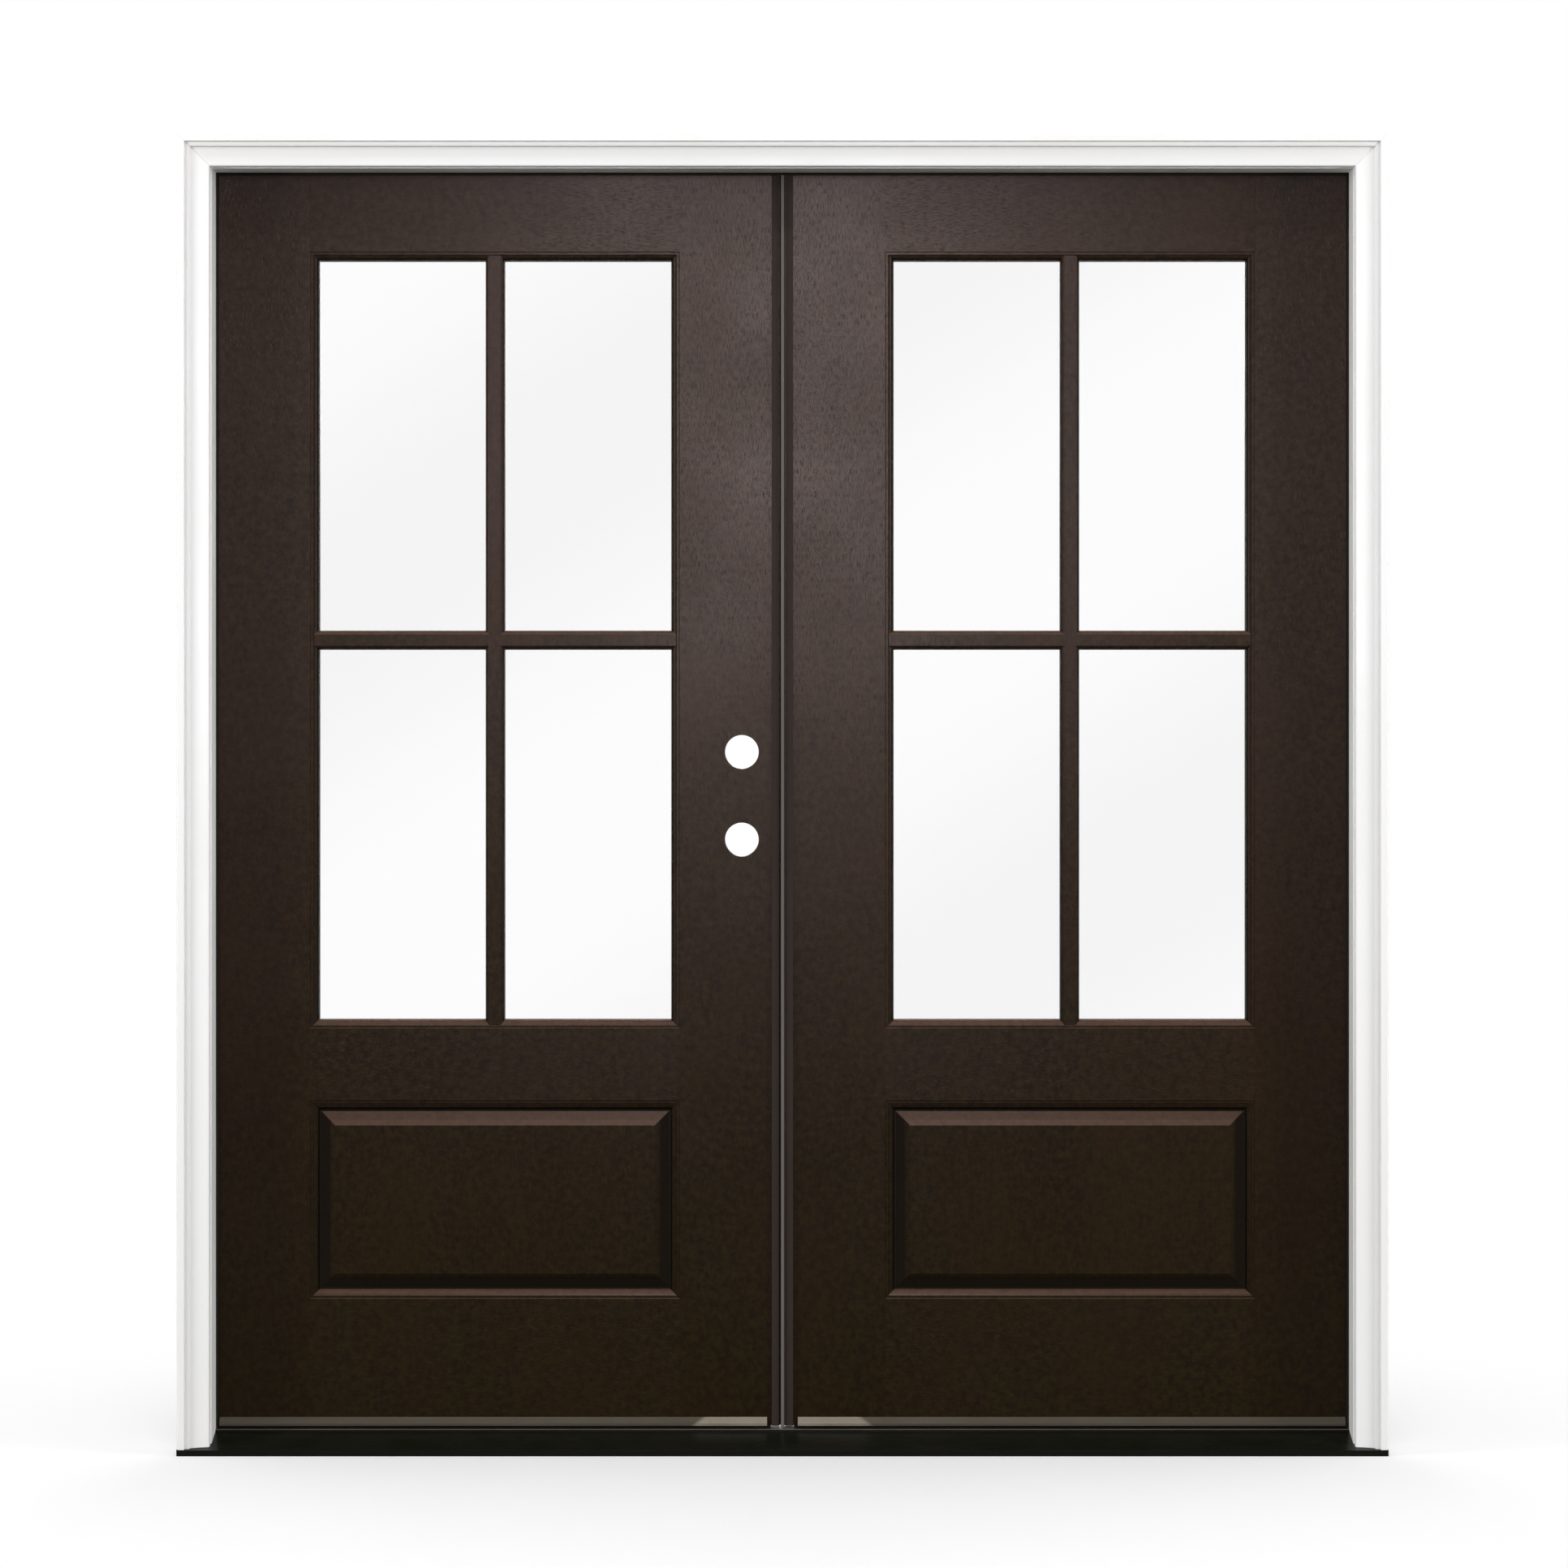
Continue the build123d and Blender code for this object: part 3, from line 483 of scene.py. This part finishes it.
def makeDrip():
    material, tree, sockets = newMaterial("dripBronze")
    place = addNode(tree, "ShaderNodeTexCoord", -9, 2).outputs["Object"]
    split = addNode(tree, "ShaderNodeSeparateXYZ", -8, 2)
    plug(tree, split.inputs[0], place)
    # Painted reflection with some rubbed wear, in a slanted band next to the meeting stiles
    side = addMath(tree, -7, 3, "ABSOLUTE", split.outputs["X"])
    rise = addMath(tree, -7, 1, "SUBTRACT", split.outputs["Z"], drip["foot"])
    slanted = addMath(tree, -6, 2, "MULTIPLY_ADD", rise, drip["slant"], side)
    end = drip["brightTo"]
    reach = addRange(tree, -5, 2, slanted, end, end + drip["fade"], 1.0, 0.0, smooth=True)
    lines = useGroup(tree, drawnLines, -5, 0, upright=0.0, low=0.28, high=0.42)
    sheen = useGroup(tree, wipedSheen, -5, -2, size=0.05, low=0.0, high=drip["smudge"])
    uneven = addRange(tree, -4, 3, sheen["Mask"], 0.0, 1.0, 0.75, 1.0)
    reflectionAndWear = addMath(tree, -3, 2, "MULTIPLY", reach, uneven)
    body = addMix(tree, -1, 2, reflectionAndWear, drip["dark"], drip["bright"])
    scratches = addRange(tree, 0, 1, lines["Lines"], 0.4, 0.7, 0.0, 0.15)
    body = addMix(tree, 1, 2, scratches, body, drip["bright"])
    plug(tree, sockets["Base Color"], body)
    plug(tree, sockets["Roughness"], addMath(tree, 1, 0, "ADD", lines["Roughness"], sheen["Roughness"]))
    sockets["Metallic"].default_value = drip["metallic"]
    sockets["Specular IOR Level"].default_value = drip["specular"]
    roundBump(tree, sockets, 4, -3, lines["Lines"], metal["strength"], metal["depth"], drip["edge"])
    return material


# Wood edges, rails, composite pieces

board = {"fineness": 0.5, "poreShare": 0.6, "strength": 0.5, "depth": 0.00012, "edge": 0.0005}


def makeBoard(name, colour, dark, low, high, sideways):
    material, tree, sockets = newMaterial(name)
    grain = useGroup(
        tree, pressedGrain, -5, 2, sideways=sideways, fineness=board["fineness"], patchSize=0.2
    )
    sheen = useGroup(tree, wipedSheen, -5, -2, size=0.2, low=low, high=high)
    streaks = addRange(tree, -3, 2, grain["Streaks"], 0.35, 0.7, 0.0, 1.0)
    body = addMix(tree, -1, 2, streaks, colour, dark)
    pores = addMath(tree, -2, 4, "MULTIPLY", grain["Pores"], board["poreShare"])
    body = addMix(tree, 1, 2, pores, body, dark)
    plug(tree, sockets["Base Color"], body)
    plug(tree, sockets["Roughness"], sheen["Roughness"])
    roundBump(tree, sockets, 4, -3, grain["Streaks"], board["strength"], board["depth"], board["edge"])
    return material


# Glass

pane = {
    "clear": (0.985, 0.985, 0.985, 1.0),
    "hazy": (0.949, 0.949, 0.949, 1.0),
    "ior": 1.45,
    "filmRoughness": 0.01,
    "slant": -0.62,  # the glass is darker in slanted bands that swell and fade
    "offset": 0.06,
    "half": 0.62,
    "hazeFrom": 0.12,
    "hazeTo": 0.56,
}


def makeGlass():
    material, tree, sockets = newMaterial("clearGlass")
    place = addNode(tree, "ShaderNodeTexCoord", -6, 0).outputs["Object"]
    film = addNoise(tree, -4, 0, place, 3.0, 3.0, 0.5)
    roughness = addRange(tree, -2, 0, film, 0.58, 0.8, 0.0, pane["filmRoughness"])
    plug(tree, sockets["Roughness"], roughness)
    split = addNode(tree, "ShaderNodeSeparateXYZ", -5, 3)
    plug(tree, split.inputs[0], place)
    slant = addMath(tree, -4, 3, "MULTIPLY_ADD", split.outputs["X"], pane["slant"], split.outputs["Z"])
    moved = addMath(tree, -3, 4, "ADD", slant, pane["offset"])
    wave = addMath(tree, -3, 3, "PINGPONG", moved, pane["half"])
    bands = addRange(tree, -2, 3, wave, pane["hazeFrom"], pane["hazeTo"], 0.0, 1.0, smooth=True)
    plug(tree, sockets["Base Color"], addMix(tree, -1, 3, bands, pane["clear"], pane["hazy"]))
    sockets["Transmission Weight"].default_value = 1.0
    sockets["Metallic"].default_value = 0.0
    sockets["IOR"].default_value = pane["ior"]
    return material


skinStain = makeStain("skinStain")
barStainUp = makeStain("barStainUpright", sideways=0.0)
trimPaint = makeTrim("trimPaint", trim["colour"], trim["shade"], trim["edge"])
jambPaint = makeTrim("jambPaint", trim["jambColour"], trim["jambShade"], 0.0)
sealFoam = makeSoft("sealFoam", (0.016, 0.0125, 0.0095, 1.0), 0.62)
# The meeting seal is the weatherstrip foam made lighter, as painted light
meetingFoam = makeSoft("meetingFoam", (0.036, 0.026, 0.022, 1.0), 0.62)
sweepVinyl = makeSoft("sweepVinyl", (0.03, 0.026, 0.024, 1.0), 0.42)
coreFoam = makeSoft("coreFoam", (0.78, 0.66, 0.38, 1.0), 0.8, 0.0, 0.0003)
hingeBronze = makeMetal("hingeBronze", (0.055, 0.042, 0.034, 1.0), 0.3, 0.44, metallic=0.85)
screwSteel = makeMetal("screwSteel", (0.075, 0.06, 0.05, 1.0), 0.26, 0.38)
boltSteel = makeMetal("boltSteel", (0.56, 0.56, 0.55, 1.0), 0.2, 0.34, upright=1.0)
spacerSteel = makeMetal("spacerSteel", (0.42, 0.42, 0.43, 1.0), 0.35, 0.5, upright=1.0)
astragalMetal = makeMetal(
    "astragalMetal", (0.115, 0.102, 0.094, 1.0), 0.6, 0.68,
    upright=1.0, metallic=0.0, level=0.04, edge=0.0,
)
dripBronze = makeDrip()
deckMetal = makeMetal(
    "deckMetal", (0.0042, 0.0045, 0.0028, 1.0), 0.24, 0.28, metallic=0.0, level=0.05, dustAmount=0.01
)
capBoard = makeBoard("capBoard", (0.075, 0.046, 0.03, 1.0), (0.04, 0.024, 0.016, 1.0), 0.32, 0.42, 1.0)
baseBoard = makeBoard("baseBoard", (0.32, 0.29, 0.25, 1.0), (0.24, 0.21, 0.18, 1.0), 0.7, 0.85, 1.0)
stileWood = makeBoard("stileWood", (0.045, 0.03, 0.021, 1.0), (0.022, 0.014, 0.01, 1.0), 0.38, 0.5, 0.0)
railBoard = makeBoard("railBoard", (0.05, 0.042, 0.036, 1.0), (0.035, 0.03, 0.026, 1.0), 0.6, 0.75, 1.0)
clearGlass = makeGlass()
print("materials built")

finishes = {
    "outer_skin": skinStain,
    "inner_skin": skinStain,
    "grille_outer": barStainUp,
    "grille_inner": barStainUp,
    "glazing_beads": barStainUp,
    "foam_core": coreFoam,
    "hinge_stile": stileWood,
    "lock_stile": stileWood,
    "lock_block": stileWood,
    "top_rail": railBoard,
    "bottom_rail": railBoard,
    "glass": clearGlass,
    "glass_spacer": spacerSteel,
    "drip_edge": dripBronze,
    "door_sweep": sweepVinyl,
    "meeting_seal": meetingFoam,
    "hinge_plates": hingeBronze,
    "jamb_left": jambPaint,
    "jamb_right": jambPaint,
    "jamb_head": jambPaint,
    "brickmould_left": trimPaint,
    "brickmould_right": trimPaint,
    "brickmould_head": trimPaint,
    "sill_substrate": baseBoard,
    "sill_deck": deckMetal,
    "sill_cap": capBoard,
    "weatherstrip_left": sealFoam,
    "weatherstrip_right": sealFoam,
    "weatherstrip_head": sealFoam,
    "corner_pads": sealFoam,
    "hinge_plates_left_jamb": hingeBronze,
    "hinge_plates_right_jamb": hingeBronze,
    "hinge_pins_left": hingeBronze,
    "hinge_pins_right": hingeBronze,
    "bolt_strikes": hingeBronze,
    "astragal": astragalMetal,
    "bolt_top": boltSteel,
    "bolt_bottom": boltSteel,
}

smoothAngle = math.radians(21)
for name, node in nodes.items():
    finish = finishes[name.removeprefix("inactive_").removeprefix("active_")]
    node.data.materials.clear()
    node.data.materials.append(finish)
    node.data.shade_smooth()
    node.data.set_sharp_from_angle(angle=smoothAngle)
    if finish is clearGlass:
        node.visible_shadow = False
print("finishes set")


# Screws, which the frame leaves out: heads with a cross recess, seated on what they hold

screw = {
    "headRadius": 0.0042,
    "headRise": 0.0005,
    "rings": [(1.0, -1.6), (1.0, 0.35), (0.9, 0.85), (0.62, 1.0)],  # share of radius, share of rise
    "sides": 32,
    "recess": 0.0022,
    "recessDepth": 0.0014,
    "slot": 0.0005,
    "firstTurn": 0.5,
    "nextTurn": 0.83,
}


def screwMesh(name):
    # Low crowned head facing up, its underside at zero
    mesh = bpy.data.meshes.new(name)
    form = bmesh.new()
    count = screw["sides"]
    loops = []
    for share, rise in screw["rings"]:
        loop = []
        r, z = screw["headRadius"] * share, screw["headRise"] * rise
        for i in range(count):
            angle = 2 * math.pi * i / count
            loop.append(form.verts.new((r * math.cos(angle), r * math.sin(angle), z)))
        loops.append(loop)
    for low, high in zip(loops, loops[1:]):
        for i in range(count):
            form.faces.new((low[i], low[(i + 1) % count], high[(i + 1) % count], high[i]))
    reach, half = screw["recess"], screw["slot"]
    cross = [
        (reach, -half), (reach, half), (half, half), (half, reach), (-half, reach), (-half, half),
        (-reach, half), (-reach, -half), (-half, -half), (-half, -reach), (half, -reach), (half, -half),
    ]
    top = screw["headRise"]
    rim = [form.verts.new((x, y, top)) for x, y in cross]
    floor = [form.verts.new((x * 0.7, y * 0.8, top - screw["recessDepth"])) for x, y in cross]
    for i in range(12):
        form.faces.new((rim[i], floor[i], floor[(i + 1) % 12], rim[(i + 1) % 12]))
    form.faces.new(floor)
    outerEdges = [form.edges.get((loops[-1][i], loops[-1][(i + 1) % count])) for i in range(count)]
    innerEdges = [form.edges.get((rim[i], rim[(i + 1) % 12])) for i in range(12)]
    bmesh.ops.triangle_fill(form, use_beauty=True, edges=outerEdges + innerEdges)
    bmesh.ops.recalc_face_normals(form, faces=form.faces)
    form.to_mesh(mesh)
    form.free()
    mesh.shade_smooth()
    mesh.set_sharp_from_angle(angle=smoothAngle)
    mesh.materials.append(screwSteel)
    return mesh


def placeScrews(name, places, axis, body):
    # One piece for a row of screws whose heads face along the axis
    turn = Vector((0, 0, 1)).rotation_difference(Vector(axis)).to_matrix().to_4x4()
    form = bmesh.new()
    for k, place in enumerate(places):
        single = bmesh.new()
        single.from_mesh(screwHead)
        spin = Matrix.Rotation(screw["firstTurn"] + screw["nextTurn"] * k, 4, "Z")
        single.transform(Matrix.Translation(place) @ turn @ spin)
        loose = bpy.data.meshes.new("loose")
        single.to_mesh(loose)
        form.from_mesh(loose)
        single.free()
        bpy.data.meshes.remove(loose)
    mesh = bpy.data.meshes.new(name)
    form.to_mesh(mesh)
    form.free()
    mesh.materials.append(screwSteel)
    mesh.shade_smooth()
    mesh.set_sharp_from_angle(angle=smoothAngle)
    piece = bpy.data.objects.new(name, mesh)
    bpy.context.scene.collection.objects.link(piece)
    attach(piece, body)


screwHead = screwMesh("screwHead")

hingeScrews = {
    "heights": (0.3658, 1.0898, 1.8138),
    "count": 4,
    "pitch": 0.0254,
    "near": 0.0120,  # the two rows, from the plate's outer edge
    "far": 0.0250,
    "plateEdge": 0.0779,
    "leafFace": 0.9125,
    "jambFace": 0.9155,
}


def hingeRows(x):
    rows = []
    count = hingeScrews["count"]
    for z in hingeScrews["heights"]:
        for i in range(count):
            y = hingeScrews["plateEdge"] + hingeScrews["far" if i % 2 else "near"]
            rows.append((x, y, z + (i - (count - 1) / 2) * hingeScrews["pitch"]))
    return rows


leafFace, jambFace = hingeScrews["leafFace"], hingeScrews["jambFace"]
capScrews = {"x": (-0.66, -0.22, 0.22, 0.66), "y": 0.0860, "top": 0.0310}
capPlaces = [(x, capScrews["y"], capScrews["top"]) for x in capScrews["x"]]

astragalScrews = {"x": 0.0015, "y": 0.0834, "low": 0.146, "step": 0.3573, "count": 6}
astragalPlaces = [
    (astragalScrews["x"], astragalScrews["y"], astragalScrews["low"] + i * astragalScrews["step"])
    for i in range(astragalScrews["count"])
]

frameScrews = {"x": 0.9250, "y": (0.0232, 0.058, 0.0927), "top": 2.06465}
framePlaces = [
    (side * frameScrews["x"], y, frameScrews["top"]) for side in (-1, 1) for y in frameScrews["y"]
]

screwRows = {
    "hingeScrewsLeftJamb": (hingeRows(-jambFace), (1, 0, 0), "frame"),
    "hingeScrewsRightJamb": (hingeRows(jambFace), (-1, 0, 0), "frame"),
    "hingeScrewsActive": (hingeRows(-leafFace), (-1, 0, 0), "active_leaf"),
    "hingeScrewsInactive": (hingeRows(leafFace), (1, 0, 0), "inactive_leaf"),
    "capScrews": (capPlaces, (0, 0, 1), "frame"),
    "astragalScrews": (astragalPlaces, (-1, 0, 0), "inactive_leaf"),
    "frameScrews": (framePlaces, (0, 0, 1), "frame"),
}
for name, (places, axis, body) in screwRows.items():
    placeScrews(name, places, axis, body)
print("screws placed")


# Foam strip on the edge of the active leaf, which closes the meeting gap behind the nose

edgeSeal = {
    "reach": 0.0035,
    "front": 0.0742,
    "back": 0.0784,
    "margin": 0.0003,
    "steps": 10,
    "sharp": math.radians(35),
}


def makeEdgeSeal():
    low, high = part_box("active_outer_skin")
    middle = (edgeSeal["front"] + edgeSeal["back"]) / 2
    half = (edgeSeal["back"] - edgeSeal["front"]) / 2
    form = bmesh.new()
    ends = []
    for z in (low.z + edgeSeal["margin"], high.z - edgeSeal["margin"]):
        ring = []
        for i in range(edgeSeal["steps"] + 1):
            angle = math.pi * (i / edgeSeal["steps"] - 0.5)
            x, y = high.x + edgeSeal["reach"] * math.cos(angle), middle + half * math.sin(angle)
            ring.append(form.verts.new((x, y, z)))
        ends.append(ring)
        form.faces.new(ring)
    for i in range(len(ends[0])):
        after = (i + 1) % len(ends[0])
        form.faces.new((ends[0][i], ends[0][after], ends[1][after], ends[1][i]))
    bmesh.ops.recalc_face_normals(form, faces=form.faces)
    mesh = bpy.data.meshes.new("activeEdgeSeal")
    form.to_mesh(mesh)
    form.free()
    mesh.shade_smooth()
    mesh.set_sharp_from_angle(angle=edgeSeal["sharp"])
    mesh.materials.append(sealFoam)
    piece = bpy.data.objects.new("activeEdgeSeal", mesh)
    bpy.context.scene.collection.objects.link(piece)
    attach(piece, "active_leaf")


makeEdgeSeal()
print("edge seal placed")


# Floor, background and light

studio = {
    "floorBounce": (0.05, 0.056, 0.052, 1.0),  # what the floor throws back on the doors
    "floorSeen": (0.53, 0.53, 0.53, 1.0),
    "glowNear": 0.27,  # the floor glows more with distance, until it is white like the background; the dimmer glow near the door is painted shade around the unit
    "nearReach": 0.7,
    "farReach": 2.0,
    "floorSize": 60.0,
    "ambient": 0.84,
}


def seenRays(tree, path, x, y):
    # 1 for what is looked at, straight, through glass or in a reflection
    seen = addMath(tree, x, y, "ADD", path.outputs["Is Camera Ray"], path.outputs["Is Transmission Ray"])
    return addMath(tree, x + 1, y, "ADD", seen, path.outputs["Is Glossy Ray"], clamp=True)


def makeFloor():
    mesh = bpy.data.meshes.new("floor")
    half = studio["floorSize"] / 2
    mesh.from_pydata(
        [(-half, -half, 0), (half, -half, 0), (half, half, 0), (-half, half, 0)], [], [(0, 1, 2, 3)]
    )
    floor = bpy.data.objects.new("floor", mesh)
    bpy.context.scene.collection.objects.link(floor)
    material = bpy.data.materials.new("studioFloor")
    material.use_nodes = True
    tree = material.node_tree
    tree.nodes.clear()
    matt = addNode(tree, "ShaderNodeBsdfDiffuse", 0, 1)
    path = addNode(tree, "ShaderNodeLightPath", -4, -1)
    seen = seenRays(tree, path, -3, -1)
    tone = addMix(tree, -1, 2, seen, studio["floorBounce"], studio["floorSeen"])
    away = addNode(tree, "ShaderNodeVectorMath", -4, -3, operation="LENGTH")
    plug(tree, away.inputs[0], addNode(tree, "ShaderNodeTexCoord", -5, -3).outputs["Object"])
    near, far = studio["nearReach"], studio["farReach"]
    fade = addRange(tree, -3, -3, away.outputs["Value"], near, far, 0.0, 1.0, smooth=True)
    plug(tree, matt.inputs["Color"], addMix(tree, 0, 3, fade, tone, (0.0, 0.0, 0.0, 1.0)))
    glow = addNode(tree, "ShaderNodeEmission", 0, -1)
    # Dimmer glow near the door: painted shade around the unit
    strength = addRange(tree, -2, -3, fade, 0.0, 1.0, studio["glowNear"], 1.0)
    plug(tree, glow.inputs["Strength"], addMath(tree, -1, -2, "MULTIPLY", seen, strength))
    both = addNode(tree, "ShaderNodeAddShader", 2, 0)
    plug(tree, both.inputs[0], matt.outputs[0])
    plug(tree, both.inputs[1], glow.outputs[0])
    output = addNode(tree, "ShaderNodeOutputMaterial", 4, 0)
    plug(tree, output.inputs["Surface"], both.outputs[0])
    mesh.materials.append(material)


def makeWorld():
    world = bpy.data.worlds.new("studioWorld")
    bpy.context.scene.world = world
    world.use_nodes = True
    tree = world.node_tree
    tree.nodes.clear()
    path = addNode(tree, "ShaderNodeLightPath", -6, 2)
    seen = seenRays(tree, path, -4, 2)
    level = addRange(tree, -1, 1, seen, 0.0, 1.0, studio["ambient"], 1.0)
    glow = addNode(tree, "ShaderNodeBackground", 1, 0)
    glow.inputs["Color"].default_value = (1.0, 1.0, 1.0, 1.0)
    plug(tree, glow.inputs["Strength"], level)
    output = addNode(tree, "ShaderNodeOutputWorld", 3, 0)
    plug(tree, output.inputs["Surface"], glow.outputs[0])


def addLamp(name, place, target, width, height, power, plain=True):
    # A lamp that is not plain is seen in the sheen only
    data = bpy.data.lights.new(name, "AREA")
    data.shape = "ELLIPSE"
    data.size, data.size_y = width, height
    data.energy = power
    lamp = bpy.data.objects.new(name, data)
    lamp.location = place
    lamp.rotation_euler = (Vector(target) - Vector(place)).to_track_quat("-Z", "Y").to_euler()
    lamp.visible_camera = False
    lamp.visible_transmission = False
    lamp.visible_diffuse = plain
    bpy.context.scene.collection.objects.link(lamp)


lamps = {
    "frontKey": ((0.0, -7.0, 2.25), (0.0, 0.07, 1.7), 0.52, 2.1, 300.0, False),
    "frontHigh": ((0.0, -5.0, 7.6), (0.0, 0.1, 1.0), 1.6, 0.7, 130.0),
    "fillLeft": ((-4.6, -2.5, 2.0), (0.0, 0.1, 1.1), 1.4, 2.4, 138.0),
    "fillRight": ((4.6, -2.5, 2.0), (0.0, 0.1, 1.1), 1.4, 2.4, 138.0),
    "backKey": ((0.0, 3.8, 2.4), (0.0, 0.1, 1.4), 1.4, 1.4, 50.0),
}
makeFloor()
makeWorld()
for name, settings in lamps.items():
    addLamp(name, *settings)
print("stage set")


# Camera, straight on and level, with a little shift for the framing

view = {
    "distance": 8.7,
    "height": 1.15,
    "lens": 126.3,
    "sensor": 36.0,
    "shiftX": 0.001,
    "shiftY": -0.0366,
    "clipEnd": 200.0,
}
cameraData = bpy.data.cameras.new("camera")
cameraData.lens = view["lens"]
cameraData.sensor_width = view["sensor"]
cameraData.sensor_fit = "HORIZONTAL"
cameraData.shift_x = view["shiftX"]
cameraData.shift_y = view["shiftY"]
cameraData.clip_end = view["clipEnd"]
camera = bpy.data.objects.new("camera", cameraData)
camera.location = (0.0, -view["distance"], view["height"])
camera.rotation_euler = (math.radians(90), 0.0, 0.0)
bpy.context.scene.collection.objects.link(camera)
bpy.context.scene.camera = camera
bpy.context.scene.view_settings.view_transform = "Standard"
print("camera set")
